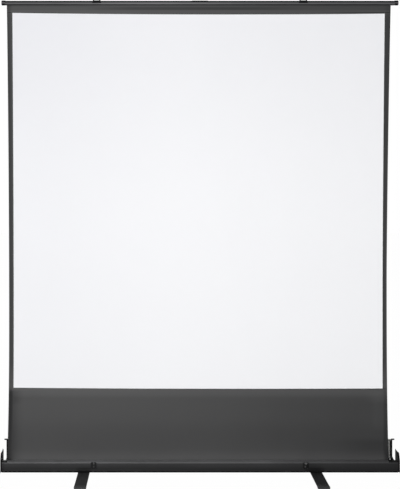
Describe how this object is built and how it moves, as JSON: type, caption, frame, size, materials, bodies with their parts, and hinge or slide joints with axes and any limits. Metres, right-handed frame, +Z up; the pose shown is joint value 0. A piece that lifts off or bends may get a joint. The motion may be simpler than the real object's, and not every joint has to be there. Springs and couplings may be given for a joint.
{
  "type": "floor-standing pull-up projection screen",
  "caption": "Portable projection screen that pulls up from a floor case on swivel feet, held by two folding arms behind a black-bordered white fabric.",
  "frame": {"origin": "on the floor, below the middle of the case and of the feet", "axes": "+Z up the screen, +X to the viewer's right along the case, the white side of the screen faces -Y"},
  "size_m": [1.922, 0.56, 2.2865],
  "materials": {
    "black_case": "black anodised, satin",
    "satin_lid": "satin mill finish",
    "black_plastic": "fine moulded grain",
    "black_arms": "black anodised, satin",
    "black_steel": "black powder coat",
    "zinc_steel": "zinc plated",
    "black_cloth": "matt coated fabric",
    "white_cloth": "matt white projection coating"
  },
  "bodies": {
    "case": {"case_body": "black_case", "left_end_plate": "black_plastic", "right_end_plate": "black_plastic", "left_inner_plate": "black_plastic", "right_inner_plate": "black_plastic", "spring_shaft": "zinc_steel", "roller_spring": "zinc_steel", "left_base_bracket": "black_steel", "right_base_bracket": "black_steel", "left_base_pin": "zinc_steel", "right_base_pin": "zinc_steel", "left_clasp_plate": "black_steel", "right_clasp_plate": "black_steel", "left_clasp_pin": "zinc_steel", "right_clasp_pin": "zinc_steel", "left_foot_washer": "black_plastic", "right_foot_washer": "black_plastic", "left_foot_bolt": "zinc_steel", "right_foot_bolt": "zinc_steel", "left_foot_nut": "zinc_steel", "right_foot_nut": "zinc_steel", "left_lid_pin": "zinc_steel", "right_lid_pin": "zinc_steel", "screen_cloth": "black_cloth", "screen_surface": "white_cloth"},
    "roller": {"roller_tube": "satin_lid", "cloth_winding": "black_cloth", "roller_left_plug": "black_plastic", "roller_right_plug": "black_plastic"},
    "left_lower_link": {"left_lower_arm": "black_arms", "left_elbow_pin": "zinc_steel"},
    "left_upper_link": {"left_upper_arm": "black_arms"},
    "right_lower_link": {"right_lower_arm": "black_arms", "right_elbow_pin": "zinc_steel"},
    "right_upper_link": {"right_upper_arm": "black_arms"},
    "bar": {"top_bar": "black_case", "left_bar_knob": "black_plastic", "right_bar_knob": "black_plastic", "left_bar_bracket": "black_steel", "right_bar_bracket": "black_steel", "left_top_pin": "zinc_steel", "right_top_pin": "zinc_steel", "handle_base": "black_steel"},
    "handle": {"handle_bail": "black_steel"},
    "lid": {"lid_panel": "satin_lid", "left_lid_cap": "black_plastic", "right_lid_cap": "black_plastic"},
    "left_clasp": {"left_clasp_lever": "black_steel"},
    "right_clasp": {"right_clasp_lever": "black_steel"},
    "left_foot": {"left_foot_bar": "black_steel", "left_foot_front_cap": "black_plastic", "left_foot_rear_cap": "black_plastic"},
    "right_foot": {"right_foot_bar": "black_steel", "right_foot_front_cap": "black_plastic", "right_foot_rear_cap": "black_plastic"}
  },
  "joints": [
    {"name": "left_base_hinge", "type": "hinge", "parent": "case", "child": "left_lower_link", "pos_m": [-0.498, 0.015, 0.029], "axis": [0, 1, 0], "range_deg": [0, 75.65], "deforming": ["screen_cloth", "screen_surface"]},
    {"name": "left_elbow_hinge", "type": "hinge", "parent": "left_lower_link", "child": "left_upper_link", "pos_m": [-0.23735, 0.0203, 1.14907], "axis": [0, 1, 0], "range_deg": [-151.4, 0]},
    {"name": "left_top_hinge", "type": "hinge", "parent": "left_upper_link", "child": "bar", "pos_m": [-0.498, 0.0203, 2.26914], "axis": [0, 1, 0], "range_deg": [0, 75.7]},
    {"name": "right_base_hinge", "type": "hinge", "parent": "case", "child": "right_lower_link", "pos_m": [0.498, 0.0288, 0.029], "axis": [0, 1, 0], "range_deg": [-75.7, 0]},
    {"name": "right_elbow_hinge", "type": "hinge", "parent": "right_lower_link", "child": "right_upper_link", "pos_m": [0.23735, 0.0341, 1.14907], "axis": [0, 1, 0], "range_deg": [0, 151.4]},
    {"name": "roller_spin", "type": "hinge", "parent": "case", "child": "roller", "pos_m": [0, -0.0063, 0.036], "axis": [1, 0, 0], "range_deg": [0, 7325]},
    {"name": "handle_swing", "type": "hinge", "parent": "bar", "child": "handle", "pos_m": [0, -0.0022, 2.27564], "axis": [1, 0, 0], "range_deg": [0, 150]},
    {"name": "lid_hinge", "type": "hinge", "parent": "case", "child": "lid", "pos_m": [0, 0.0415, 0.038], "axis": [1, 0, 0], "range_deg": [-15, 0]},
    {"name": "left_clasp_hinge", "type": "hinge", "parent": "case", "child": "left_clasp", "pos_m": [-0.512, -0.0491, 0.0306], "axis": [1, 0, 0], "range_deg": [0, 150]},
    {"name": "right_clasp_hinge", "type": "hinge", "parent": "case", "child": "right_clasp", "pos_m": [0.508, -0.0491, 0.0306], "axis": [1, 0, 0], "range_deg": [0, 150]},
    {"name": "left_foot_swivel", "type": "hinge", "parent": "case", "child": "left_foot", "pos_m": [-0.5595, 0, 0.005], "axis": [0, 0, 1], "range_deg": [0, 90]},
    {"name": "right_foot_swivel", "type": "hinge", "parent": "case", "child": "right_foot", "pos_m": [0.5595, 0, 0.005], "axis": [0, 0, 1], "range_deg": [-90, 0]}
  ],
  "couplings": [
    {"joint": "left_elbow_hinge", "follows": "left_base_hinge", "ratio": -2},
    {"joint": "left_top_hinge", "follows": "left_base_hinge", "ratio": 1},
    {"joint": "right_base_hinge", "follows": "left_base_hinge", "ratio": -1},
    {"joint": "right_elbow_hinge", "follows": "left_base_hinge", "ratio": 2},
    {"joint": "roller_spin", "follows": "left_base_hinge", "ratio": 96.8}
  ]
}
